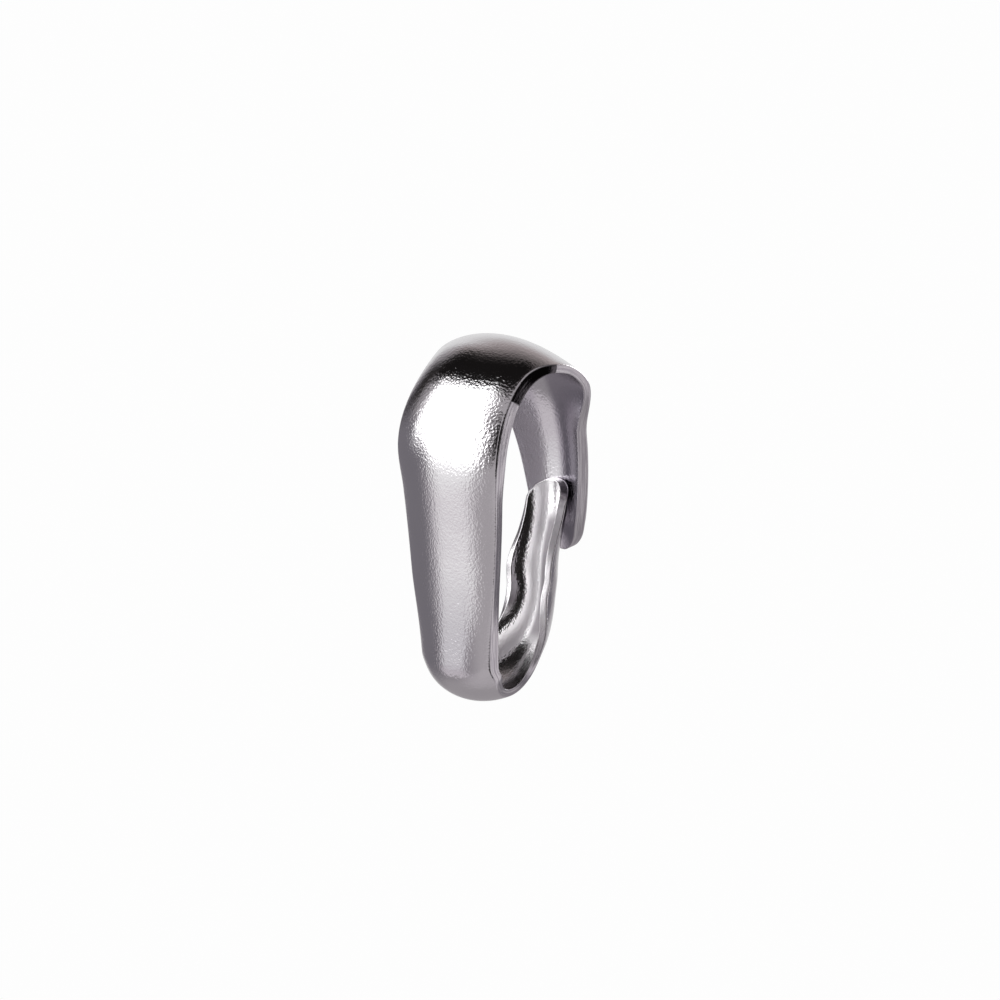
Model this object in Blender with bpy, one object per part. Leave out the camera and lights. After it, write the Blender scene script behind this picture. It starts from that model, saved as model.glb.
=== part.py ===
"""Spring-clip bail finding, modelled as the one strip of stainless sheet that it is bent from.

The strip starts at the end of the back arm, runs up and over the arch, down the wide front arm, round the
bottom bend and up the narrow tongue, whose tip rests inside the back arm. Across its width the sheet is
pressed to a dome, mildly on the front arm and to a deep channel on the tongue.

The bail's own directions are: across (left to right), depth (front to back) and up. It lies on its left
side, as it would on a table, with the front arm towards -Y, the arch towards -X and its right side up.
"""

import math
from dataclasses import dataclass

import bmesh
import bpy
import numpy as np
from mathutils import Matrix, Vector

MM = 0.001

# Driving sizes, in millimetres
LENGTH = 7.0
WIDTH = 3.0
BACK_END_ROUND = 0.88
TONGUE_END_ROUND = 0.5
END_SHARE = 0.16

# Fineness of the mesh
SECTIONS = 108
ACROSS_STEPS = 13
PATH_SAMPLES = 4000
TURN_WEIGHT = 0.6
END_WEIGHT = 3.5
END_FADE = 4.0


@dataclass(frozen=True)
class Station:
    """The strip at one place along its crest, counted from the end of the back arm."""

    name: str
    along: float  # mm from the back arm's end
    heading: float  # degrees: 90 runs up, 180 runs to the front, 270 runs down
    half_width: float  # mm of sheet on each side of the crest
    dome_radius: float  # mm, radius that the sheet is pressed to across its width
    wall: float  # mm, thickness of the sheet
    edge_slant: float  # mm that the inner face reaches past a square-cut edge


STATIONS = (
    Station("back arm end", 0.0, 102.5, 0.54, 8.0, 0.21, 0.0),
    Station("back arm waist", 0.6, 87.5, 0.78, 1.5, 0.21, 0.0),
    Station("back arm top", 2.5, 102.0, 1.21, 1.8, 0.2, 0.0),
    Station("arch, back", 3.8, 126.0, 1.5, 5.8, 0.16, -0.02),
    Station("arch, crown", 4.8, 161.0, 1.54, 3.7, 0.17, 0.07),
    Station("arch, front", 6.1, 223.5, 1.43, 2.65, 0.2, 0.15),
    Station("shoulder", 8.0, 265.0, 1.51, 4.1, 0.2, 0.11),
    Station("front arm, high", 9.0, 275.5, 1.43, 3.3, 0.2, 0.06),
    Station("front arm, middle", 10.5, 274.0, 1.27, 3.2, 0.2, 0.04),
    Station("front arm, low", 12.05, 268.0, 1.07, 2.05, 0.19, 0.13),
    Station("bend, front", 12.5, 294.5, 1.12, 1.8, 0.18, 0.11),
    Station("bend, bottom", 13.6, 371.0, 0.91, 2.15, 0.12, 0.11),
    Station("bend, back", 15.05, 411.5, 0.9, 0.9, 0.15, 0.03),
    Station("tongue, low", 16.15, 442.0, 0.9, 0.61, 0.16, 0.0),
    Station("tongue, knee", 16.6, 446.5, 0.93, 0.68, 0.16, -0.02),
    Station("tongue, middle", 17.25, 435.0, 0.77, 0.63, 0.16, 0.0),
    Station("tongue end", 18.4, 453.5, 0.69, 0.75, 0.16, 0.0),
)

METAL_COLOUR = (0.55, 0.54, 0.56, 1.0)
METAL_ROUGHNESS = 0.18
SHARP_EDGE = math.radians(50)
LARGEST_TURN = math.radians(25)


def clear_scene():
    for obj in list(bpy.data.objects):
        bpy.data.objects.remove(obj, do_unlink=True)


def column(field):
    return np.array([getattr(station, field) for station in STATIONS])


def eased(at, places, values):
    """A smooth curve through the values that never swings past them, read at each place in at."""
    step = np.diff(places)
    rise = np.diff(values) / step
    before, after = 2 * step[1:] + step[:-1], step[1:] + 2 * step[:-1]
    same_way = rise[1:] * rise[:-1] > 0
    slope = np.concatenate([rise[:1], np.zeros(len(rise) - 1), rise[-1:]])
    inner = np.flatnonzero(same_way)
    weights = before[inner] / rise[inner] + after[inner] / rise[inner + 1]
    slope[inner + 1] = (before[inner] + after[inner]) / weights
    piece = np.clip(np.searchsorted(places, at, side="right") - 1, 0, len(step) - 1)
    part = (at - places[piece]) / step[piece]
    rest = 1 - part
    return (
        values[piece] * rest**2 * (1 + 2 * part)
        + values[piece + 1] * part**2 * (1 + 2 * rest)
        + step[piece] * part * rest * (slope[piece] * rest - slope[piece + 1] * part)
    )


def section_places():
    """Where the cross-sections stand: closer together where the strip turns and at its round ends."""
    places = column("along")
    total = places[-1]
    along = np.linspace(0, total, PATH_SAMPLES)
    turn = np.abs(np.gradient(np.radians(eased(along, places, column("heading"))), along))
    weight = 1 + TURN_WEIGHT * turn
    for from_end, round_length in ((along, BACK_END_ROUND), (total - along, TONGUE_END_ROUND)):
        weight += END_WEIGHT * np.exp(-END_FADE * from_end / round_length)
    grown = np.concatenate([[0], np.cumsum(0.5 * (weight[1:] + weight[:-1]) * np.diff(along))])
    return np.interp(np.linspace(0, grown[-1], SECTIONS), grown, along)


def crest_path(along):
    """Depth, height and heading of the crest line at each place: the heading summed along the strip."""
    places = column("along")
    fine = np.linspace(0, places[-1], PATH_SAMPLES)
    heading = np.radians(eased(fine, places, column("heading")))
    middle = 0.5 * (heading[1:] + heading[:-1])
    depth = np.concatenate([[0], np.cumsum(np.cos(middle) * np.diff(fine))])
    height = np.concatenate([[0], np.cumsum(np.sin(middle) * np.diff(fine))])
    return np.interp(along, fine, depth), np.interp(along, fine, height), np.interp(along, fine, heading)


def round_end(from_end, round_length):
    """Share of the full width near a round end, a quarter ellipse that starts at END_SHARE."""
    part = np.clip(1 - from_end / round_length, 0, 1)
    return np.maximum(np.sqrt(1 - part**2), END_SHARE)


def strip_points():
    """The strip's points as [section, point round the section, (across, depth, up)], in millimetres."""
    places = column("along")
    along = section_places()
    depth, height, heading = crest_path(along)
    half = eased(along, places, column("half_width"))
    half *= round_end(along, BACK_END_ROUND) * round_end(places[-1] - along, TONGUE_END_ROUND)
    dome = 1 / eased(along, places, 1 / column("dome_radius"))
    wall = eased(along, places, column("wall"))
    slant = eased(along, places, column("edge_slant"))
    share = np.linspace(-1, 1, ACROSS_STEPS + 1)
    rows = []
    for radius, reach, shares in ((dome, 0, share), (dome - wall, slant, share[::-1])):
        angles = np.outer(half / dome + reach / radius, shares)
        across = radius[:, None] * np.sin(angles)
        inward = dome[:, None] - radius[:, None] * np.cos(angles)
        row_depth = depth[:, None] - inward * np.sin(heading)[:, None]
        row_height = height[:, None] + inward * np.cos(heading)[:, None]
        rows.append(np.stack([across, row_depth, row_height], axis=-1))
    points = np.concatenate(rows, axis=1)
    sides = np.ptp(points, axis=(0, 1))
    points *= np.array([WIDTH / sides[0], LENGTH / sides[2], LENGTH / sides[2]])
    return points


def strip_faces(sections, ring):
    """Quads between neighbouring sections and one face over each end, all facing outwards."""
    index = np.arange(sections * ring).reshape(sections, ring)
    here, after = index[:-1], index[1:]
    quads = np.stack([here, after, np.roll(after, -1, axis=1), np.roll(here, -1, axis=1)], axis=-1)
    faces = quads.reshape(-1, 4).tolist()
    faces.append(index[0].tolist())
    faces.append(index[-1, ::-1].tolist())
    return faces


def lying_on_its_side():
    """Turns across to +Z, depth to +Y and up to -X."""
    return Matrix(((0, 0, -1), (0, 1, 0), (1, 0, 0))).to_4x4()


def settled(mesh):
    """The turn that lays the mesh on the three points that it would come to rest on.

    These are the corners of the face of its convex hull that lies straight under its centre of mass.
    """
    shape = bmesh.new()
    shape.from_mesh(mesh)
    bmesh.ops.triangulate(shape, faces=shape.faces)
    corners = [[vert.co.copy() for vert in face.verts] for face in shape.faces]
    volumes = [a.dot(b.cross(c)) / 6 for a, b, c in corners]
    weighted = [(a + b + c) * (volume / 4) for (a, b, c), volume in zip(corners, volumes)]
    centre = sum(weighted, Vector()) / sum(volumes)
    hull = bmesh.ops.convex_hull(shape, input=shape.verts)["geom"]
    hull_faces = [piece for piece in hull if isinstance(piece, bmesh.types.BMFace)]
    turn = Matrix.Identity(4)
    for face in sorted(hull_faces, key=lambda piece: piece.calc_area(), reverse=True):
        normal = face.normal
        if (face.calc_center_median() - centre).dot(normal) < 0:
            normal = -normal
        if normal.z > -math.cos(LARGEST_TURN):
            continue
        foot = centre + normal * (face.verts[0].co - centre).dot(normal)
        a, b, c = (vert.co for vert in face.verts)
        sides = [(q - p).cross(foot - p).dot(normal) for p, q in ((a, b), (b, c), (c, a))]
        if min(sides) >= 0 or max(sides) <= 0:
            turn = normal.rotation_difference(Vector((0, 0, -1))).to_matrix().to_4x4()
            break
    shape.free()
    return turn


def to_origin(mesh):
    """Moves the mesh so that its box stands on z = 0, centred on the vertical axis."""
    points = np.empty(len(mesh.vertices) * 3)
    mesh.vertices.foreach_get("co", points)
    low, high = points.reshape(-1, 3).min(axis=0), points.reshape(-1, 3).max(axis=0)
    middle = 0.5 * (low + high)
    mesh.transform(Matrix.Translation((-middle[0], -middle[1], -low[2])))


def steel():
    material = bpy.data.materials.new("polished_steel")
    material.use_nodes = True
    shader = material.node_tree.nodes["Principled BSDF"]
    shader.inputs["Base Color"].default_value = METAL_COLOUR
    shader.inputs["Metallic"].default_value = 1.0
    shader.inputs["Roughness"].default_value = METAL_ROUGHNESS
    return material


def bail_band():
    points = strip_points() * MM
    mesh = bpy.data.meshes.new("bail_band")
    mesh.from_pydata(points.reshape(-1, 3).tolist(), [], strip_faces(*points.shape[:2]))
    mesh.transform(lying_on_its_side())
    mesh.transform(settled(mesh))
    to_origin(mesh)
    mesh.shade_smooth()
    mesh.set_sharp_from_angle(angle=SHARP_EDGE)
    mesh.materials.append(steel())
    obj = bpy.data.objects.new("bail_band", mesh)
    bpy.context.scene.collection.objects.link(obj)
    return obj


clear_scene()
bail_band()
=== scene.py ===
"""Spring-clip bail finding in tumbled stainless steel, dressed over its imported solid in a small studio.

The bail is one strip of sheet. Its own directions are across (left to right), depth (front to back) and
up; it lies on its left side, so across points upwards in the scene.
"""

import logging
import math
from dataclasses import dataclass, field
from enum import Enum
from typing import Optional, Union

import bpy
import numpy as np
from mathutils import Euler, Matrix, Vector


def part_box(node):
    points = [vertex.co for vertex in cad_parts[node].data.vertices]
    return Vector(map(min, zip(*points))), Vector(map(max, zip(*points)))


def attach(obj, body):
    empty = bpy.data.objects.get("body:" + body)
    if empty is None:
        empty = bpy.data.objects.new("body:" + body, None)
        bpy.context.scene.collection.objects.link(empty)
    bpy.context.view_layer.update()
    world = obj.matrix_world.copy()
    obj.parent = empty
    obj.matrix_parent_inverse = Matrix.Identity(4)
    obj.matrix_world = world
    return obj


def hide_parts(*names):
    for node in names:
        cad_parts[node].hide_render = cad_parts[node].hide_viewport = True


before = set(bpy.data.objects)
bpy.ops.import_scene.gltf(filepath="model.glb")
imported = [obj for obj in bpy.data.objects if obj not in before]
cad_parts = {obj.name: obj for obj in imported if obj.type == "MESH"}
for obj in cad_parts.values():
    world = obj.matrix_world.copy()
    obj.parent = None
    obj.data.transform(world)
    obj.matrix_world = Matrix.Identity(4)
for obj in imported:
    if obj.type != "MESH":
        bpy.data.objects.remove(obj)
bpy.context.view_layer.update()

LOG = logging.getLogger("bail")
MM = 0.001
PICTURE = 1000

Colour = tuple[float, float, float, float]
Limits = tuple[float, float]


class Side(Enum):
    """A face of the sheet, given as the share of the wall's thickness above it."""

    OUTER = 0.0
    INNER = 1.0


class Value:
    """A node's output socket, on which plain arithmetic adds Math nodes."""

    def __init__(self, bench: "Bench", socket: bpy.types.NodeSocket) -> None:
        """Wraps a socket of the tree that the bench works on."""
        self.bench = bench
        self.socket = socket

    def _math(self, operation: str, left: "Operand", right: "Operand") -> "Value":
        """Adds one Math node with two inputs."""
        return self.bench.node("ShaderNodeMath", {"operation": operation}, {0: left, 1: right})

    def __add__(self, other: "Operand") -> "Value":
        """This value plus another."""
        return self._math("ADD", self, other)

    def __radd__(self, other: float) -> "Value":
        """A number plus this value."""
        return self._math("ADD", other, self)

    def __sub__(self, other: "Operand") -> "Value":
        """This value minus another."""
        return self._math("SUBTRACT", self, other)

    def __rsub__(self, other: float) -> "Value":
        """A number minus this value."""
        return self._math("SUBTRACT", other, self)

    def __mul__(self, other: "Operand") -> "Value":
        """This value times another."""
        return self._math("MULTIPLY", self, other)

    def __rmul__(self, other: float) -> "Value":
        """A number times this value."""
        return self._math("MULTIPLY", other, self)


Operand = Union[Value, float]
Tone = Union[Value, Colour]


def overlap(masks: list[Value]) -> Value:
    """The product of several masks."""
    return math.prod(masks[1:], start=masks[0])


@dataclass
class Bench:
    """Adds nodes to one node tree."""

    tree: bpy.types.NodeTree

    def node(
        self,
        kind: str,
        settings: Optional[dict] = None,
        inputs: Optional[dict] = None,
        output: Union[int, str] = 0,
    ) -> Value:
        """Adds a node.

        Args:
            kind: the node's Blender type.
            settings: its properties, set before anything is linked.
            inputs: a value, a colour or another node's output for each socket, by name or number.
            output: which of its outputs is handed back.

        Returns:
            The chosen output, wrapped.
        """
        made = self.tree.nodes.new(kind)
        for name, setting in (settings or {}).items():
            setattr(made, name, setting)
        for key, value in (inputs or {}).items():
            if isinstance(value, Value):
                self.tree.links.new(value.socket, made.inputs[key])
            else:
                made.inputs[key].default_value = value
        return Value(self, made.outputs[output])

    def step(self, value: Value, limits: Limits) -> Value:
        """A smooth step: three times the square, less twice the cube, of the way between two limits.

        Args:
            value: the value that is compared with the limits.
            limits: where the step is 0 and where it is 1; the first may be the larger.

        Returns:
            The step, from 0 to 1.
        """
        low, high = sorted(limits)
        settings = {"interpolation_type": "SMOOTHSTEP", "clamp": True}
        sockets = {"Value": value, "From Min": low, "From Max": high}
        stepped = self.node("ShaderNodeMapRange", settings, sockets)
        return stepped if limits[0] == low else 1.0 - stepped

    def spread(self, value: Value, limits: Limits) -> Value:
        """Spreads a value of 0 to 1 evenly between two limits."""
        return value * (limits[1] - limits[0]) + limits[0]

    def noise(self, vector: Value, scale: float, detail: float = 1.0, rough: float = 0.5) -> Value:
        """Smooth noise of about 0 to 1, with cells 1 / scale wide."""
        sockets = {"Vector": vector, "Scale": scale, "Detail": detail, "Roughness": rough}
        return self.node("ShaderNodeTexNoise", {"noise_dimensions": "3D"}, sockets)

    def part(self, vector: Value, axis: str) -> Value:
        """One of a vector's three parts: X, Y or Z."""
        return self.node("ShaderNodeSeparateXYZ", inputs={0: vector}, output=axis)

    def dot(self, vector: Value, direction: Vector) -> Value:
        """The part of a vector that lies along a fixed direction."""
        sockets = {0: vector, 1: tuple(direction)}
        return self.node("ShaderNodeVectorMath", {"operation": "DOT_PRODUCT"}, sockets, "Value")

    def stretched(self, vector: Value, factors: tuple[float, float, float]) -> Value:
        """A vector with each of its parts multiplied by a number."""
        return self.node("ShaderNodeVectorMath", {"operation": "MULTIPLY"}, {0: vector, 1: factors})

    def mixed(self, factor: Operand, low: Tone, high: Tone) -> Value:
        """A colour between two others, which are the Mix node's sockets 6 and 7."""
        sockets = {"Factor": factor, 6: low, 7: high}
        return self.node("ShaderNodeMix", {"data_type": "RGBA"}, sockets, 2)


@dataclass(frozen=True)
class Area:
    """An area of the sheet; each pair of limits is where one of its sides goes from 0 to 1, in mm."""

    along: tuple[Limits, ...] = ()  # from the back arm's end
    across: tuple[Limits, ...] = ()  # from the crest, to the right


@dataclass(frozen=True)
class Relief:
    """A layer of smooth bumps on the steel."""

    size: float  # mm
    height: float  # mm


@dataclass
class Sheet:
    """Where each point of the strip lies on the flat sheet, read from the mesh's attributes."""

    bench: Bench
    edge_fades: tuple[Limits, Limits] = ((0.02, 0.12), (0.98, 0.88))  # share of the wall
    inner_fade: Limits = (0.9, 1.0)  # share of the wall
    along: Value = field(init=False)  # mm from the back arm's end
    across: Value = field(init=False)  # mm from the crest, to the right
    outline: Value = field(init=False)  # mm round the outline, share of the wall, 0
    arc: Value = field(init=False)  # mm round the outline
    deep: Value = field(init=False)  # share of the wall
    edge: Value = field(init=False)  # 1 on the sheared edge
    inside: Value = field(init=False)  # 1 on the inner face

    def __post_init__(self) -> None:
        """Adds the nodes that read the attributes, and the masks of the edge and the inner face."""
        bench = self.bench
        flat = bench.node("ShaderNodeAttribute", {"attribute_name": "sheet"}, output="Vector")
        self.along, self.across = bench.part(flat, "X"), bench.part(flat, "Y")
        self.outline = bench.node("ShaderNodeAttribute", {"attribute_name": "edge"}, output="Vector")
        self.arc, self.deep = bench.part(self.outline, "X"), bench.part(self.outline, "Y")
        self.edge = overlap([bench.step(self.deep, fade) for fade in self.edge_fades])
        self.inside = bench.step(self.deep, self.inner_fade)

    def within(self, area: Area) -> Value:
        """The product of a smooth step for each side of an area.

        Args:
            area: the area.

        Returns:
            1 within the area and 0 outside it.
        """
        sides = [self.bench.step(self.along, limits) for limits in area.along]
        sides += [self.bench.step(self.across, limits) for limits in area.across]
        return overlap(sides)


@dataclass(frozen=True)
class Marks:
    """Masks of what changes over the steel, each from 0 to about 1."""

    smear: Value  # broad clouds of better and worse polish
    lines: Value  # shear lines through the wall
    drawn: Value  # streaks along the edge
    burnished_and_painted_dark: Value  # the stretch of the edge that is rubbed smooth, with a painted dark reflection on it
    painted_light_inside: Value  # painted light on the inner face below the arch
    rough_and_painted_shade: Value  # the right side of the tongue's channel, rougher and with painted shade


@dataclass(frozen=True)
class TumbledSteel:
    """Stainless steel tumbled to a bright polish, which leaves a fine orange peel, with sheared edges.

    The tones of the areas are chosen so that the picture comes out right: painted light on the inner face
    below the arch, painted shade on the back arm's inside, the bend's floor, the lower front and the right
    of the tongue's channel, and a painted dark reflection on the burnished stretch of the edge.
    """

    colour: Colour = (0.78, 0.765, 0.78, 1.0)
    # the sheared edge's own duller tone, also laid over the lower front as painted shade
    edge_colour: Colour = (0.52, 0.5, 0.53, 1.0)
    # painted light: brightens the inner face below the arch, except in the bend
    painted_light_colour: Colour = (0.96, 0.95, 0.96, 1.0)
    # painted shade on the back arm's inside and on the bend's floor
    painted_shade_colour: Colour = (0.4, 0.375, 0.42, 1.0)
    # painted shade on the right side of the tongue's channel
    tongue_painted_shade_colour: Colour = (0.3, 0.28, 0.3, 1.0)
    # painted dark reflection on the burnished stretch of the edge
    painted_dark_reflection_colour: Colour = (0.14, 0.13, 0.14, 1.0)
    cloud_share: Limits = (0.0, 0.25)  # of the edge's colour in the face's, over the smear

    roughness: float = 0.09
    clouds: Limits = (0.7, 1.3)  # times the roughness, over the smear
    inner_roughness: float = 0.14
    untouched_roughness: float = 0.5
    scuffed_roughness: float = 0.45
    edge_roughness: float = 0.25
    line_share: Limits = (0.2, 1.0)  # of the edge's roughness, over the shear lines

    # painted light lies on the inner face within this area
    below_arch: Area = Area(along=((5.6, 7.0),))
    above_bend: Area = Area(along=((13.2, 12.2),))
    bend: Area = Area(along=((12.0, 12.8), (14.8, 14.0)))
    # painted shade on the inside of the bend's floor
    bend_floor: Area = Area(along=((12.4, 13.0), (14.3, 13.8)))
    tongue: Area = Area(along=((14.6, 15.6),))
    # the right side of the tongue's channel, made rougher and given painted shade
    rough_and_painted_shade: Area = Area(along=((14.8, 15.4), (18.0, 17.5)), across=((-0.25, 0.0),))
    # painted shade on the lower front of the outer face
    painted_shade_low_front: Area = Area(along=((9.8, 11.9), (12.6, 12.1)), across=((-0.4, -0.05), (0.95, 0.55)))
    # where painted shade lies on the back arm's inside, and how much
    back_arm: Area = Area(along=((5.2, 4.2),))
    back_arm_right: Area = Area(across=((-0.15, 0.15),))
    back_arm_left: Area = Area(across=((-0.35, -0.65),))
    middle_painted_shade: float = 0.3
    right_painted_shade: float = 0.7  # added to the middle's
    left_painted_shade: float = 0.5

    smear_size: float = 0.9  # mm
    peel: Relief = Relief(0.05, 0.0042)
    grain: Relief = Relief(0.025, 0.0006)
    wave: Relief = Relief(0.5, 0.004)
    edge_smoothing: float = 0.6  # share of the faces' relief that the edge lacks

    shear_height: float = 0.0024  # mm
    shear_lines: tuple[float, float, float] = (26.0, 0.7, 0.0)  # for each mm of outline and each wall
    drawn_lines: tuple[float, float, float] = (1.1, 7.0, 0.0)
    shear_patches: tuple[float, float, float] = (1.3, 0.0, 0.0)
    patch_fade: Limits = (0.2, 0.7)
    streak_fade: Limits = (0.62, 0.42)
    burnished_from: float = 5.3  # mm round the outline
    burnished_to: float = 7.05
    burnished_fade: float = 0.03
    burnished_rise: float = 0.042  # mm through the wall
    chatter: Limits = (0.8, 4.5)  # strength of the shear lines far from the burnished stretch and by it
    chatter_before: Limits = (-0.4, -0.1)  # mm from the stretch's start
    chatter_after: Limits = (0.5, 0.2)  # mm from its end

    def marks(self, sheet: Sheet, place: Value) -> Marks:
        """Works out the marks, which the height, the roughness and the colour share.

        Args:
            sheet: where the points lie on the sheet.
            place: the points' Object coordinates.

        Returns:
            The marks.
        """
        bench = sheet.bench
        start, end, fade = self.burnished_from, self.burnished_to, self.burnished_fade
        starts = bench.step(sheet.arc, (start - fade, start + fade))
        ends = bench.step(sheet.arc, (end + fade, end - fade))
        lines = bench.stretched(sheet.outline, self.shear_lines)
        drawn = bench.stretched(sheet.outline, self.drawn_lines)
        return Marks(
            smear=bench.noise(place, 1.0 / (self.smear_size * MM), detail=4.0, rough=0.6),
            lines=bench.noise(lines, 1.0, detail=3.0, rough=0.65),
            drawn=bench.noise(drawn, 1.0, detail=3.0, rough=0.6),
            burnished_and_painted_dark=sheet.edge * starts * ends,
            painted_light_inside=sheet.inside * sheet.within(self.below_arch),
            rough_and_painted_shade=sheet.inside * sheet.within(self.rough_and_painted_shade),
        )

    def height(self, sheet: Sheet, place: Value, marks: Marks) -> Value:
        """The height of the surface.

        On the faces it is the sum of three smooth noises of different sizes. On the sheared edge two more
        are added: one in close lines through the wall, strongest beside the burnished stretch, and one
        drawn out along the edge. The burnished stretch rises evenly through the wall.

        Args:
            sheet: where the points lie on the sheet.
            place: the points' Object coordinates.
            marks: the marks on the steel.

        Returns:
            The height in mm.
        """
        bench = sheet.bench
        before = tuple(self.burnished_from + offset for offset in self.chatter_before)
        after = tuple(self.burnished_to + offset for offset in self.chatter_after)
        chatter = bench.step(sheet.arc, before) * bench.step(sheet.arc, after)
        patches = bench.noise(bench.stretched(sheet.outline, self.shear_patches), 1.0)
        sheared = sheet.edge * bench.spread(chatter, self.chatter) * bench.step(patches, self.patch_fade)
        sheared = sheared * (1.0 - marks.burnished_and_painted_dark)
        layers = (self.peel, self.grain, self.wave)
        bumps = [bench.noise(place, 1.0 / (layer.size * MM)) * layer.height for layer in layers]
        face = sum(bumps[1:], start=bumps[0]) * (1.0 - sheet.edge * self.edge_smoothing)
        edge = (marks.lines * sheared + marks.drawn * sheet.edge) * self.shear_height
        return face + edge + marks.burnished_and_painted_dark * sheet.deep * self.burnished_rise

    def dullness(self, sheet: Sheet, marks: Marks) -> Value:
        """The roughness, summed up over the face, the sheared edge and the areas of the inner face.

        Args:
            sheet: where the points lie on the sheet.
            marks: the marks on the steel.

        Returns:
            The roughness.
        """
        bench = sheet.bench
        face = bench.spread(marks.smear, self.clouds) * self.roughness
        edge = sheet.edge * bench.spread(marks.lines, self.line_share) * (1.0 - marks.burnished_and_painted_dark)
        untouched = marks.painted_light_inside * sheet.within(self.above_bend)
        return (
            face
            + edge * (self.edge_roughness - self.roughness)
            + sheet.inside * (self.inner_roughness - self.roughness)
            + untouched * (self.untouched_roughness - self.inner_roughness)
            + marks.rough_and_painted_shade * (self.scuffed_roughness - self.inner_roughness)
        )

    def tone(self, sheet: Sheet, marks: Marks) -> Value:
        """The colour: each area's painted light or shade is laid over the one before; the edge's streaks
        and its painted dark reflection come last.

        Args:
            sheet: where the points lie on the sheet.
            marks: the marks on the steel.

        Returns:
            The colour.
        """
        bench = sheet.bench
        # painted shade on the back arm's inside, most on its right, and on the bend's floor
        sides = sheet.within(self.back_arm_right) * self.right_painted_shade
        sides = sides + sheet.within(self.back_arm_left) * self.left_painted_shade
        painted_shade = sheet.within(self.back_arm) * (sides + self.middle_painted_shade) + sheet.within(self.bend_floor)
        # painted shade on the lower front of the outer face
        painted_shade_low_front = (1.0 - sheet.inside) * sheet.within(self.painted_shade_low_front)
        streaks = sheet.edge * bench.step(marks.drawn, self.streak_fade) * (1.0 - marks.burnished_and_painted_dark)
        layers = (
            # painted light on the inner face below the arch, kept out of the bend
            (marks.painted_light_inside * (1.0 - sheet.within(self.bend)), self.painted_light_colour),
            # painted shade on the back arm's inside and the bend's floor
            (sheet.inside * painted_shade, self.painted_shade_colour),
            # painted shade on the lower front
            (painted_shade_low_front, self.edge_colour),
            # painted shade on the right side of the tongue's channel
            (marks.rough_and_painted_shade, self.tongue_painted_shade_colour),
            (streaks * (1.0 - sheet.within(self.tongue)), self.edge_colour),
            # painted dark reflection on the burnished stretch
            (marks.burnished_and_painted_dark, self.painted_dark_reflection_colour),
        )
        tone = bench.mixed(bench.spread(marks.smear, self.cloud_share), self.colour, self.edge_colour)
        for mask, colour in layers:
            tone = bench.mixed(mask, tone, colour)
        return tone

    def material(self, name: str) -> bpy.types.Material:
        """Builds the finish.

        Args:
            name: the material's name.

        Returns:
            The material.
        """
        material = bpy.data.materials.new(name)
        material.use_nodes = True
        bench = Bench(material.node_tree)
        sheet = Sheet(bench)
        place = bench.node("ShaderNodeTexCoord", output="Object")
        marks = self.marks(sheet, place)
        bump = {"Height": self.height(sheet, place, marks) * MM, "Distance": 1.0, "Strength": 1.0}
        varying = {
            "Base Color": self.tone(sheet, marks),
            "Roughness": self.dullness(sheet, marks),
            "Normal": bench.node("ShaderNodeBump", inputs=bump, output="Normal"),
        }
        shader = material.node_tree.nodes["Principled BSDF"]
        for socket, value in varying.items():
            material.node_tree.links.new(value.socket, shader.inputs[socket])
        shader.inputs["Metallic"].default_value = 1.0
        return material


@dataclass(frozen=True)
class Station:
    """The strip at one place along its crest, counted from the end of the back arm."""

    name: str
    along: float  # mm from the back arm's end
    heading: float  # degrees: 90 runs up, 180 runs to the front, 270 runs down
    half_width: float  # mm of sheet on each side of the crest
    dome_radius: float  # mm, radius that the sheet is pressed to across its width
    wall: float  # mm, thickness of the sheet
    edge_slant: float  # mm that the inner face reaches past a square-cut edge


# Fitted to the photograph's outline, then rounded and partly changed
STATIONS = (
    Station("back arm end", 0.0, 102.5, 0.54, 8.0, 0.21, 0.0),
    Station("back arm waist", 0.6, 87.5, 0.78, 1.5, 0.21, 0.0),
    Station("back arm top", 2.5, 102.0, 1.21, 1.8, 0.2, 0.0),
    Station("arch, back", 3.8, 126.0, 1.5, 5.8, 0.16, -0.02),
    Station("arch, crown", 4.8, 161.0, 1.54, 3.7, 0.17, 0.07),
    Station("arch, front", 6.1, 223.5, 1.43, 2.65, 0.2, 0.15),
    Station("shoulder", 8.0, 265.0, 1.51, 4.1, 0.2, 0.11),
    Station("front arm, high", 9.0, 275.5, 1.43, 3.3, 0.2, 0.06),
    Station("front arm, middle", 10.5, 273.0, 1.27, 3.2, 0.2, 0.04),
    Station("front arm, low", 12.05, 270.0, 1.07, 2.05, 0.19, 0.13),
    Station("bend, front", 12.5, 294.5, 1.12, 1.8, 0.18, 0.11),
    Station("bend, bottom", 13.6, 371.0, 0.91, 2.15, 0.12, 0.11),
    Station("bend, back", 15.05, 411.5, 0.9, 0.9, 0.15, 0.03),
    Station("tongue, low", 16.15, 442.0, 0.9, 0.61, 0.16, 0.0),
    Station("tongue, knee", 16.6, 446.5, 0.93, 0.68, 0.16, -0.02),
    Station("tongue, middle", 17.25, 435.0, 0.77, 0.63, 0.16, 0.0),
    Station("tongue end", 18.4, 453.5, 0.69, 0.75, 0.16, 0.0),
)


@dataclass(frozen=True)
class Pose:
    """How the bail's own directions lie in the scene: on its left side, settled on three points."""

    settled_degrees: tuple[float, float, float] = (-4.522, 5.9323, -0.2344)

    def matrix(self) -> Matrix:
        """The bail laid on its side, and then turned as it settles.

        Returns:
            The matrix that turns (across, depth, up) into the scene's directions.
        """
        on_its_side = Matrix(((0, 0, -1), (0, 1, 0), (1, 0, 0)))
        settled = Euler([math.radians(turn) for turn in self.settled_degrees], "XYZ").to_matrix()
        return settled @ on_its_side


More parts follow.
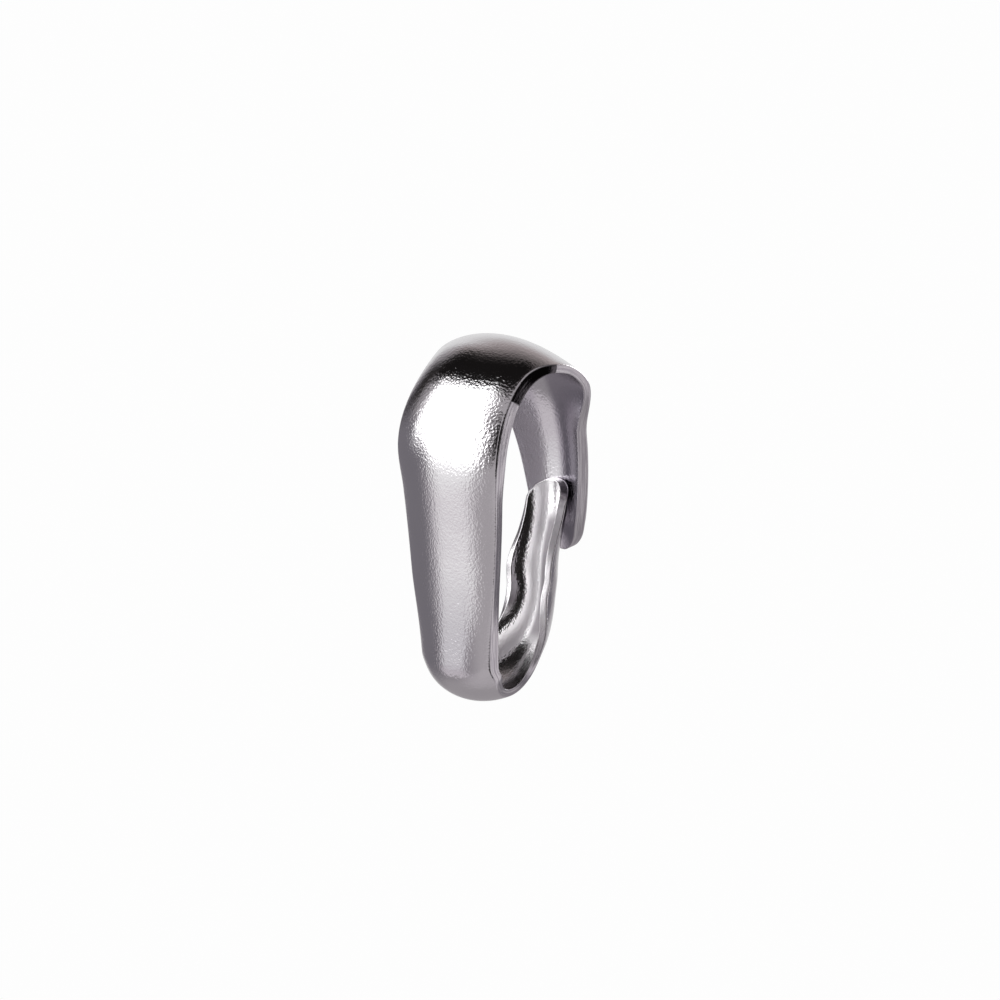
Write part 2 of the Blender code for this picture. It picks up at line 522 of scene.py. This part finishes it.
@dataclass
class BailBand:
    """The whole bail, one strip of sheet with rounded corners along its sheared edge."""

    stations: tuple[Station, ...] = STATIONS
    length: float = 7.0  # mm
    width: float = 3.0  # mm
    back_end_round: float = 0.88  # mm along the strip
    tongue_end_round: float = 0.5  # mm along the strip
    end_share: float = 0.08  # of the width, left at the very ends
    outer_corner: float = 0.028  # mm
    inner_corner: float = 0.018  # mm
    path_samples: int = 6000
    middle_sections: int = 520
    end_sections: int = 44
    across_points: int = 43
    corner_points: int = 5
    edge_points: int = 4
    turn_weight: float = 0.6
    pose: Pose = Pose()
    shift: np.ndarray = field(default_factory=lambda: np.zeros(3), init=False)  # metres, set by placed

    def column(self, name: str) -> np.ndarray:
        """One of the stations' values as an array."""
        return np.array([getattr(station, name) for station in self.stations])

    def eased(self, at: np.ndarray, name: str, inverse: bool = False) -> np.ndarray:
        """Reads one of the stations' values anywhere along the strip.

        Between two stations the value follows the cubic that starts and ends with a given slope; a
        station's slope is the weighted harmonic mean of the slopes on its two sides, or none at a turning
        point, so the curve never swings past the stations' own values.

        Args:
            at: places along the strip, in mm.
            name: the station's field.
            inverse: ease one over the value and turn the result back, as suits a radius.

        Returns:
            The values, one for each place.
        """
        places = self.column("along")
        values = 1.0 / self.column(name) if inverse else self.column(name)
        step = np.diff(places)
        rise = np.diff(values) / step
        before, after = 2 * step[1:] + step[:-1], step[1:] + 2 * step[:-1]
        slope = np.concatenate([rise[:1], np.zeros(len(rise) - 1), rise[-1:]])
        inner = np.flatnonzero(rise[1:] * rise[:-1] > 0)
        weights = before[inner] / rise[inner] + after[inner] / rise[inner + 1]
        slope[inner + 1] = (before[inner] + after[inner]) / weights
        piece = np.clip(np.searchsorted(places, at, side="right") - 1, 0, len(step) - 1)
        part = (at - places[piece]) / step[piece]
        rest = 1 - part
        eased = (
            values[piece] * rest**2 * (1 + 2 * part)
            + values[piece + 1] * part**2 * (1 + 2 * rest)
            + step[piece] * part * rest * (slope[piece] * rest - slope[piece + 1] * part)
        )
        return 1.0 / eased if inverse else eased

    def crest(self, at: np.ndarray) -> tuple[np.ndarray, np.ndarray, np.ndarray]:
        """The crest line: its heading, and depth and height as the running sums of cos and sin of it.

        Args:
            at: places along the strip, in mm.

        Returns:
            Depth, height and heading in radians at each place.
        """
        fine = np.linspace(0, self.stations[-1].along, self.path_samples)
        heading = np.radians(self.eased(fine, "heading"))
        middle = 0.5 * (heading[1:] + heading[:-1])
        depth = np.concatenate([[0], np.cumsum(np.cos(middle) * np.diff(fine))])
        height = np.concatenate([[0], np.cumsum(np.sin(middle) * np.diff(fine))])
        return np.interp(at, fine, depth), np.interp(at, fine, height), np.interp(at, fine, heading)

    def half_width(self, at: np.ndarray) -> np.ndarray:
        """Half the strip's width, narrowed at both ends by a quarter ellipse.

        Args:
            at: places along the strip, in mm.

        Returns:
            The half widths in mm.
        """
        share = np.ones_like(at)
        total = self.stations[-1].along
        for from_end, round_length in ((at, self.back_end_round), (total - at, self.tongue_end_round)):
            part = np.clip(1 - from_end / round_length, 0, 1)
            share *= np.maximum(np.sqrt(1 - part**2), self.end_share)
        return self.eased(at, "half_width") * share

    def section_places(self) -> np.ndarray:
        """Where the cross-sections stand.

        At a round end they are spaced as the cosine of an evenly growing angle, so the ellipse comes out
        even; in between they stand closer where the strip turns more.

        Returns:
            Places along the strip, in mm.
        """
        total = self.stations[-1].along
        angle = np.linspace(math.asin(self.end_share), math.pi / 2, self.end_sections)
        back = self.back_end_round * (1 - np.cos(angle))
        tongue = total - self.tongue_end_round * (1 - np.cos(angle[::-1]))
        fine = np.linspace(back[-1], tongue[0], self.path_samples)
        turn = np.abs(np.gradient(np.radians(self.eased(fine, "heading")), fine))
        weight = 1 + self.turn_weight * turn
        grown = np.concatenate([[0], np.cumsum(0.5 * (weight[1:] + weight[:-1]) * np.diff(fine))])
        middle = np.interp(np.linspace(0, grown[-1], self.middle_sections), grown, fine)
        return np.concatenate([back[:-1], middle, tongue[1:]])

    def sheet_point(self, at: np.ndarray, across: np.ndarray, deep: np.ndarray) -> np.ndarray:
        """Carries a point of the flat sheet to its place on the bent and domed strip.

        The sheet's distance across becomes an angle round the dome's axis, which lies one dome radius
        below the crest; depth in the wall shortens that radius. The point then stands in the plane square
        to the crest line's heading.

        Args:
            at: mm along the strip.
            across: mm across the flat sheet from the crest.
            deep: share of the wall above the point, 0 on the outer face and 1 on the inner.

        Returns:
            Points as (across, depth, up) in mm, before they are fitted to the labelled size.
        """
        depth, height, heading = self.crest(at)
        dome = self.eased(at, "dome_radius", inverse=True)
        wall = self.eased(at, "wall")
        radius = dome - wall * deep
        side = np.clip(across / self.half_width(at), -1, 1)
        angle = across / dome + side * deep * self.eased(at, "edge_slant") / radius
        inward = dome - radius * np.cos(angle)
        return np.stack(
            [radius * np.sin(angle), depth - inward * np.sin(heading), height + inward * np.cos(heading)],
            axis=-1,
        )

    def fit(self) -> np.ndarray:
        """Works out how much larger or smaller the square-cut strip has to be for the labelled size.

        Returns:
            Factors for (across, depth, up).
        """
        at = self.section_places()
        rows = [self.sheet_point(at, self.half_width(at), np.full_like(at, side.value)) for side in Side]
        crest = [self.sheet_point(at, 0 * at, np.full_like(at, side.value)) for side in Side]
        half = max(row[:, 0].max() for row in rows)
        up = np.concatenate([row[:, 2] for row in rows + crest])
        tall = self.length / np.ptp(up)
        return np.array([0.5 * self.width / half, tall, tall])

    def edge_profile(self) -> tuple[np.ndarray, np.ndarray, np.ndarray]:
        """The edge from the outer face to the inner: a quarter circle, a straight run, a quarter circle.

        Returns:
            For each row its inset from the outline in mm, its depth in mm, and the share of the wall's
            thickness to add to that depth.
        """
        angle = np.linspace(0, math.pi / 2, self.corner_points)
        outer, inner = self.outer_corner, self.inner_corner
        run = np.linspace(0, 1, self.edge_points + 2)[1:-1]
        inset = np.concatenate([outer * (1 - np.sin(angle)), 0 * run, inner * (1 - np.cos(angle))])
        fixed = np.concatenate(
            [outer * (1 - np.cos(angle)), outer * (1 - run) - inner * run, -inner * (1 - np.sin(angle))]
        )
        share = np.concatenate([0 * angle, run, 0 * angle + 1])
        return inset, fixed, share

    def outline(self, count: int) -> tuple[np.ndarray, np.ndarray]:
        """The outline of a grid: up its right side, round the tongue's end, down its left side and back.

        Args:
            count: the grid's rows.

        Returns:
            The row and the column of each point.
        """
        wide = self.across_points
        rows, columns = np.arange(count), np.arange(wide)
        row = np.concatenate(
            [rows, np.full(wide - 1, count - 1), rows[-2::-1], np.zeros(wide - 2, dtype=int)]
        )
        column = np.concatenate(
            [np.full(count, wide - 1), columns[-2::-1], np.zeros(count - 1, dtype=int), columns[1:-1]]
        )
        return row, column

    def flat_points(self) -> tuple[np.ndarray, np.ndarray, np.ndarray]:
        """The strip's points as they lie on the flat sheet.

        Two grids, (along, across), make the outer and inner faces, and a band carries the edge profile
        round the closed outline between them, each row set in along the outline's own normal.

        Returns:
            For each point (mm along, mm across), its share of the wall, and its mm round the outline.
        """
        at = self.section_places()
        count, wide = len(at), self.across_points
        share = np.linspace(-1, 1, wide)
        row, column = self.outline(count)
        ring = np.stack([at[row], (self.half_width(at)[:, None] * share)[row, column]], axis=-1)
        ahead = np.roll(ring, -1, axis=0) - np.roll(ring, 1, axis=0)
        normal = np.stack([-ahead[:, 1], ahead[:, 0]], axis=-1)
        normal /= np.linalg.norm(normal, axis=1, keepdims=True)
        arc = np.concatenate([[0], np.cumsum(np.linalg.norm(np.diff(ring, axis=0), axis=1))])

        inset, fixed, wall_share = self.edge_profile()
        band = ring[None] - inset[:, None, None] * normal[None]
        wall = self.eased(band[..., 0], "wall")
        band_deep = (fixed[:, None] + wall_share[:, None] * wall) / wall

        flat, deep, lengths = [], [], []
        for side, profile_row in ((Side.OUTER, 0), (Side.INNER, -1)):
            right = band[profile_row, :count]
            grid = np.stack([np.repeat(right[:, :1], wide, axis=1), right[:, 1:] * share], axis=-1)
            grid[row, column] = band[profile_row]
            grid_arc = np.zeros((count, wide))
            grid_arc[row, column] = arc
            flat.append(grid.reshape(-1, 2))
            deep.append(np.full(count * wide, side.value))
            lengths.append(grid_arc.reshape(-1))
        flat.append(band[1:-1].reshape(-1, 2))
        deep.append(band_deep[1:-1].reshape(-1))
        lengths.append(np.tile(arc, len(inset) - 2))
        return np.concatenate(flat), np.concatenate(deep), np.concatenate(lengths)

    def quads(self, count: int) -> np.ndarray:
        """The faces: both grids, the inner one turned over, and the bands between their outlines.

        Args:
            count: the grids' rows.

        Returns:
            Four point numbers for each face.
        """
        index = np.arange(count * self.across_points).reshape(count, -1)
        corners = [index[:-1, :-1], index[1:, :-1], index[1:, 1:], index[:-1, 1:]]
        outer = np.stack(corners, axis=-1).reshape(-1, 4)
        inner = np.stack(corners[::-1], axis=-1).reshape(-1, 4) + index.size
        on_outline = index[self.outline(count)]
        rows = 2 * self.corner_points + self.edge_points - 2
        between = np.arange(rows * len(on_outline)).reshape(rows, -1) + 2 * index.size
        bands = np.concatenate([on_outline[None], between, on_outline[None] + index.size])
        here, after = bands[:-1], bands[1:]
        edge = np.stack([here, np.roll(here, -1, 1), np.roll(after, -1, 1), after], axis=-1)
        return np.concatenate([outer, inner, edge.reshape(-1, 4)])

    def mesh(self) -> bpy.types.Mesh:
        """The strip as one closed mesh.

        Returns:
            The mesh, at its place in the scene, with the attributes sheet (mm along, mm across, depth)
            and edge (mm round the outline, depth, 0).
        """
        flat, deep, lengths = self.flat_points()
        placed = self.placed(self.sheet_point(flat[:, 0], flat[:, 1], deep) * self.fit())
        mesh = bpy.data.meshes.new("bail_strip")
        mesh.from_pydata(placed.tolist(), [], self.quads(len(self.section_places())).tolist())
        sheet = np.column_stack([flat, deep])
        edge = np.column_stack([lengths, deep, 0 * deep])
        for name, values in (("sheet", sheet), ("edge", edge)):
            layer = mesh.attributes.new(name, "FLOAT_VECTOR", "POINT")
            layer.data.foreach_set("vector", values.astype(np.float32).reshape(-1))
        mesh.shade_smooth()
        mesh.validate()
        return mesh

    def placed(self, points: np.ndarray) -> np.ndarray:
        """Lays the strip in the scene, its box centred on the CAD's in plan and level with it below.

        The shift is kept, because the camera is aimed with it.

        Args:
            points: (across, depth, up) in mm.

        Returns:
            The points in the scene, in metres.
        """
        turned = points @ np.array(self.pose.matrix()).T * MM
        low, high = (np.array(corner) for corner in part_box("bail_band"))
        middle = 0.5 * (turned.max(axis=0) + turned.min(axis=0))
        shift = 0.5 * (low + high) - middle
        shift[2] = low[2] - turned[:, 2].min()
        self.shift = shift
        return turned + shift

    def middle_of_bail(self) -> Vector:
        """Finds the middle of the bail's own upright box, once the strip has been placed.

        The box is that of the crest and the right edge, on both faces; the other edge mirrors it.

        Returns:
            The middle, in the scene.
        """
        at = self.section_places()
        lines = (0 * at, self.half_width(at))
        rows = [self.sheet_point(at, line, 0 * at + side.value) for line in lines for side in Side]
        every = np.concatenate(rows) * self.fit()
        middle = 0.5 * (every.max(axis=0) + every.min(axis=0))
        middle[0] = 0.0
        return Vector(middle @ np.array(self.pose.matrix()).T * MM + self.shift)

    def build(self, finish: TumbledSteel) -> bpy.types.Object:
        """Makes the piece, dresses it and lets it stand for the CAD strip.

        Args:
            finish: the steel's finish.

        Returns:
            The piece.
        """
        mesh = self.mesh()
        mesh.materials.append(finish.material("tumbled_steel"))
        piece = bpy.data.objects.new("bail_strip", mesh)
        bpy.context.scene.collection.objects.link(piece)
        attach(piece, "root")
        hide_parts("bail_band")
        return piece


@dataclass(frozen=True)
class Patch:
    """A soft-edged area of the studio round the bail, in degrees.

    Azimuth 0 is behind the camera and grows to the picture's right; elevation grows upwards.
    """

    name: str
    centre: float  # azimuth of its middle
    left: float  # from the middle to the left edge, at elevation 0
    right: float
    low: float  # elevation of the lower edge, at the middle
    high: float
    level: float
    soft: float = 5.0  # half of the width that an edge fades over
    soft_low: Optional[float] = None  # the same for the lower and upper edges, where they differ
    soft_high: Optional[float] = None
    tilt_low: float = 0.0  # elevation gained by that edge for each degree of azimuth
    tilt_high: float = 0.0
    lean_left: float = 0.0  # azimuth gained by that edge for each degree of elevation
    lean_right: float = 0.0
    tint: tuple[float, float, float] = (1.0, 1.0, 1.0)


WARM_GREY = (1.08, 0.96, 0.95)
COOL_GREY = (1.0, 0.94, 1.05)
PINK_GREY = (1.01, 0.955, 0.995)

# Fitted to what the steel mirrors in the photograph, then rounded and partly changed
PATCHES = (
    Patch("upper room", 0, 400, 400, 40, 200, 0.1, soft=15, soft_low=11, tint=WARM_GREY),
    Patch("far ceiling", 175, 62, 56, 34, 70, 0.55, soft=30, soft_low=20, soft_high=28, tilt_low=0.13,
          lean_left=-0.85, tint=WARM_GREY),
    Patch("far wall", 180, 48, 16, -10, 43, 1.03, soft=6, soft_low=10, soft_high=18, tilt_low=-0.24,
          tilt_high=0.13, lean_left=-0.1, lean_right=0.3),
    Patch("table front", -60, 42, 80, -68, -30, 0.64, soft=28, soft_low=20, soft_high=10, tilt_low=-0.1,
          tilt_high=0.28, tint=PINK_GREY),
    Patch("side wall", -138, 16, 26.5, -22, 14, 0.25, soft=4, soft_low=14, soft_high=2, tilt_low=-0.1,
          tilt_high=-0.4, lean_right=-0.25, tint=COOL_GREY),
    Patch("near wall", -40, 40, 50, -31, 45, 0.57, soft=3, soft_low=4, soft_high=2, tilt_low=-0.1,
          tilt_high=-0.18, lean_left=0.1, tint=PINK_GREY),
    Patch("window wall", 78, 17, 20, -52, 8, 0.85, soft=4, tint=PINK_GREY),
    Patch("right wall", 112, 14, 14, -22, 20, 0.24, soft=5, tint=COOL_GREY),
    Patch("back window", 128, 24, 22, 6, 36, 4.5, soft=6),
    Patch("camera's dark corner", 20, 26, 41, -34, 17, 0.015, soft=5, lean_right=0.4, tint=WARM_GREY),
    Patch("table glow", -98, 18, 21, -33, -11.5, 0.96, soft=7, soft_low=4, soft_high=8, tilt_low=-0.35,
          tint=PINK_GREY),
    Patch("dark surround", -90, 64, 114, 32, 70, 0.01, soft=9, soft_low=4, soft_high=12, tilt_low=0.21,
          tilt_high=0.38, lean_left=0.4, lean_right=-0.3, tint=WARM_GREY),
    Patch("dark end", -137, 12, 9, 11, 27, 0.03, soft=5, soft_low=7, soft_high=4, tilt_low=0.16,
          tilt_high=0.24, lean_right=-0.15, tint=WARM_GREY),
    Patch("dark side", -45, 15, 20, -4, 30, 0.02, soft=7, soft_low=8, soft_high=6, tilt_low=0.4,
          tilt_high=-0.3, lean_left=0.5, lean_right=-0.3, tint=WARM_GREY),
    Patch("foot glow", -90, 18, 23, -20, 4, 1.3, soft=5, soft_low=7, soft_high=4, tilt_low=-0.28,
          lean_right=0.4),
    Patch("soft box", -90, 30, 22, 2, 34, 3.2, soft=4.5, soft_low=5, soft_high=4, tilt_high=0.23,
          lean_left=0.2, lean_right=0.48),
    Patch("soft box foot", -88, 19, 21, -8, 14, 3.2, soft=3, soft_low=4, tilt_low=-0.28,
          tilt_high=0.16, lean_left=0.16, lean_right=0.5),
)


@dataclass
class Studio:
    """The pale backdrop, the light round the bail and the camera."""

    azimuth: float = 50.34  # degrees from the bail's front to the camera, towards its right side
    elevation: float = 12.59  # degrees above the bail's own level
    roll: float = -0.34  # degrees
    pixels_per_mm: float = 52.46  # at the bail
    distance: float = 134.94  # mm
    picture_x: float = 503.17  # pixels from the left to the middle of the bail
    picture_y: float = 514.75  # pixels from the top
    sensor: float = 36.0  # mm
    clip: Limits = (MM, 10.0)  # metres
    floor_rings: Limits = (20.0, 80.0)  # mm, radii between the centre and the cove
    floor_radius: float = 300.0  # mm
    floor_drop: float = 0.002  # mm below the bail
    cove_radius: float = 120.0  # mm
    cove_points: int = 17
    wall_height: float = 260.0  # mm
    spin_points: int = 96
    backdrop_glow: float = 0.985
    lamp_size: float = 0.5  # metres across
    lamp_power: float = 1.6  # watts
    lamp_place: tuple[float, float, float] = (0.05, -0.05, 0.45)  # metres
    patches: tuple[Patch, ...] = PATCHES
    table_level: float = 0.47  # of light where no patch lies
    strength: float = 0.79

    def directions(self, pose: Pose) -> tuple[Vector, Vector, Vector]:
        """Works out the camera's directions from its azimuth and elevation, without the roll.

        Args:
            pose: how the bail lies.

        Returns:
            The picture's right, its up and the way to the camera, in the scene.
        """
        turn, tilt = math.radians(self.azimuth), math.radians(self.elevation)
        right = Vector((math.cos(turn), math.sin(turn), 0.0))
        towards = Vector(
            (math.sin(turn) * math.cos(tilt), -math.cos(turn) * math.cos(tilt), math.sin(tilt))
        )
        up = towards.cross(right)
        return tuple(pose.matrix() @ way for way in (right, up, towards))

    def camera(self, pose: Pose, middle: Vector) -> bpy.types.Object:
        """Aims the camera at the bail from the photograph's angle.

        Args:
            pose: how the bail lies.
            middle: the point that the photograph shows at picture_x, picture_y.

        Returns:
            The camera.
        """
        right, up, towards = self.directions(pose)
        roll = math.radians(self.roll)
        across = right * math.cos(roll) + up * math.sin(roll)
        above = up * math.cos(roll) - right * math.sin(roll)
        data = bpy.data.cameras.new("camera")
        data.sensor_width = self.sensor
        data.lens = self.pixels_per_mm * self.distance / PICTURE * self.sensor
        data.shift_x = (PICTURE / 2 - self.picture_x) / PICTURE
        data.shift_y = (self.picture_y - PICTURE / 2) / PICTURE
        data.clip_start, data.clip_end = self.clip
        camera = bpy.data.objects.new("camera", data)
        place = Matrix.Translation(middle + towards * self.distance * MM)
        camera.matrix_world = place @ Matrix((across, above, towards)).transposed().to_4x4()
        bpy.context.scene.collection.objects.link(camera)
        bpy.context.scene.camera = camera
        return camera

    def backdrop_mesh(self) -> bpy.types.Mesh:
        """A floor that turns up into a wall far from the bail.

        The profile runs flat, round a quarter circle and straight up, and is spun about the vertical.

        Returns:
            The mesh.
        """
        turn = np.linspace(0, math.pi / 2, self.cove_points)
        reach = np.concatenate([self.floor_rings, self.floor_radius + self.cove_radius * np.sin(turn)])
        rise = np.concatenate([0 * np.array(self.floor_rings), self.cove_radius * (1 - np.cos(turn))])
        reach, rise = np.append(reach, reach[-1])[:, None], np.append(rise, self.wall_height)[:, None]
        spin = np.linspace(0, 2 * math.pi, self.spin_points, endpoint=False)
        points = np.stack([reach * np.cos(spin), reach * np.sin(spin), rise + 0 * spin], axis=-1)
        index = np.arange(points[..., 0].size).reshape(-1, len(spin)) + 1
        here, after = index[:-1], index[1:]
        quads = np.stack([here, after, np.roll(after, -1, 1), np.roll(here, -1, 1)], axis=-1)
        centre = np.stack([0 * index[0], index[0], np.roll(index[0], -1)], axis=-1)
        mesh = bpy.data.meshes.new("backdrop")
        corners = np.concatenate([np.zeros((1, 3)), points.reshape(-1, 3)]) - (0, 0, self.floor_drop)
        mesh.from_pydata((corners * MM).tolist(), [], centre.tolist() + quads.reshape(-1, 4).tolist())
        mesh.shade_smooth()
        return mesh

    def backdrop(self) -> bpy.types.Object:
        """Stands the pale backdrop, which glows evenly by itself and is seen by the camera alone.

        Returns:
            The backdrop.
        """
        mesh = self.backdrop_mesh()
        material = bpy.data.materials.new("backdrop")
        material.use_nodes = True
        inputs = material.node_tree.nodes["Principled BSDF"].inputs
        inputs["Base Color"].default_value = (0.0, 0.0, 0.0, 1.0)
        inputs["Roughness"].default_value = 1.0
        inputs["Specular IOR Level"].default_value = 0.0
        inputs["Emission Color"].default_value = (1.0, 1.0, 1.0, 1.0)
        inputs["Emission Strength"].default_value = self.backdrop_glow
        mesh.materials.append(material)
        floor = bpy.data.objects.new("backdrop", mesh)
        floor.visible_glossy = False
        floor.visible_diffuse = False
        floor.visible_shadow = False
        bpy.context.scene.collection.objects.link(floor)
        return floor

    def overhead(self) -> bpy.types.Object:
        """Hangs a broad soft lamp over the table, which only dull things would show.

        Returns:
            The lamp.
        """
        data = bpy.data.lights.new("overhead", "AREA")
        data.shape = "DISK"
        data.size = self.lamp_size
        data.energy = self.lamp_power
        lamp = bpy.data.objects.new("overhead", data)
        lamp.location = self.lamp_place
        lamp.visible_glossy = False
        bpy.context.scene.collection.objects.link(lamp)
        return lamp

    def mask(self, bench: Bench, patch: Patch, azimuth: Value, elevation: Value) -> Value:
        """How much of a patch lies in a direction.

        The mask is the product of four smooth steps, one for each edge. An upright edge may lean with the
        elevation, and a level one may tilt with the azimuth counted from the patch's middle.

        Args:
            bench: the node tree to add to.
            patch: the patch.
            azimuth: the direction's azimuth in degrees.
            elevation: its elevation in degrees.

        Returns:
            0 outside the patch, 1 within it.
        """
        half_turn = {0: azimuth - patch.centre, 1: 180.0, 2: -180.0}
        offset = bench.node("ShaderNodeMath", {"operation": "WRAP"}, half_turn)
        low, high = patch.soft_low or patch.soft, patch.soft_high or patch.soft
        edges = (
            (offset, elevation, patch.lean_left, -patch.left, patch.soft),
            (offset, elevation, patch.lean_right, patch.right, -patch.soft),
            (elevation, offset, patch.tilt_low, patch.low, low),
            (elevation, offset, patch.tilt_high, patch.high, -high),
        )
        steps = []
        for value, other, slope, limit, fade in edges:
            across = value - other * slope if slope else value
            steps.append(bench.step(across, (limit - fade, limit + fade)))
        return overlap(steps)

    def light(self, pose: Pose) -> bpy.types.World:
        """Paints the studio's walls on the world, patch over patch.

        Azimuth is the arc tangent of the direction's part to the picture's right over its part to the
        camera; elevation is the arc sine of its part upwards.

        Args:
            pose: how the bail lies.

        Returns:
            The world.
        """
        world = bpy.data.worlds.new("studio")
        world.use_nodes = True
        tree = world.node_tree
        bench = Bench(tree)
        way = bench.node("ShaderNodeTexCoord", output="Generated")
        right, up, towards = self.directions(pose)
        sideways, ahead = bench.dot(way, right), bench.dot(way, towards)
        turn = bench.node("ShaderNodeMath", {"operation": "ARCTAN2"}, {0: sideways, 1: ahead})
        rise = bench.node("ShaderNodeMath", {"operation": "ARCSINE"}, {0: bench.dot(way, up)})
        azimuth, elevation = turn * math.degrees(1.0), rise * math.degrees(1.0)
        colour: Tone = tuple(self.table_level * part for part in PINK_GREY) + (1.0,)
        for patch in self.patches:
            shade = tuple(patch.level * part for part in patch.tint) + (1.0,)
            colour = bench.mixed(self.mask(bench, patch, azimuth, elevation), colour, shade)
        background = tree.nodes["Background"]
        tree.links.new(colour.socket, background.inputs["Color"])
        background.inputs["Strength"].default_value = self.strength
        bpy.context.scene.world = world
        return world


def main() -> None:
    """Builds the bail and its studio in order, and reports each piece."""
    logging.basicConfig(level=logging.INFO, format="%(name)s: %(message)s")
    band = BailBand()
    piece = band.build(TumbledSteel())
    LOG.info("%s: %d faces", piece.name, len(piece.data.polygons))
    studio = Studio()
    studio.light(band.pose)
    LOG.info("studio: %d patches of light", len(studio.patches))
    LOG.info("%s", studio.backdrop().name)
    LOG.info("%s", studio.overhead().name)
    LOG.info("%s", studio.camera(band.pose, band.middle_of_bail()).name)
    bpy.context.scene.view_settings.view_transform = "Standard"


if __name__ == "__main__":
    main()
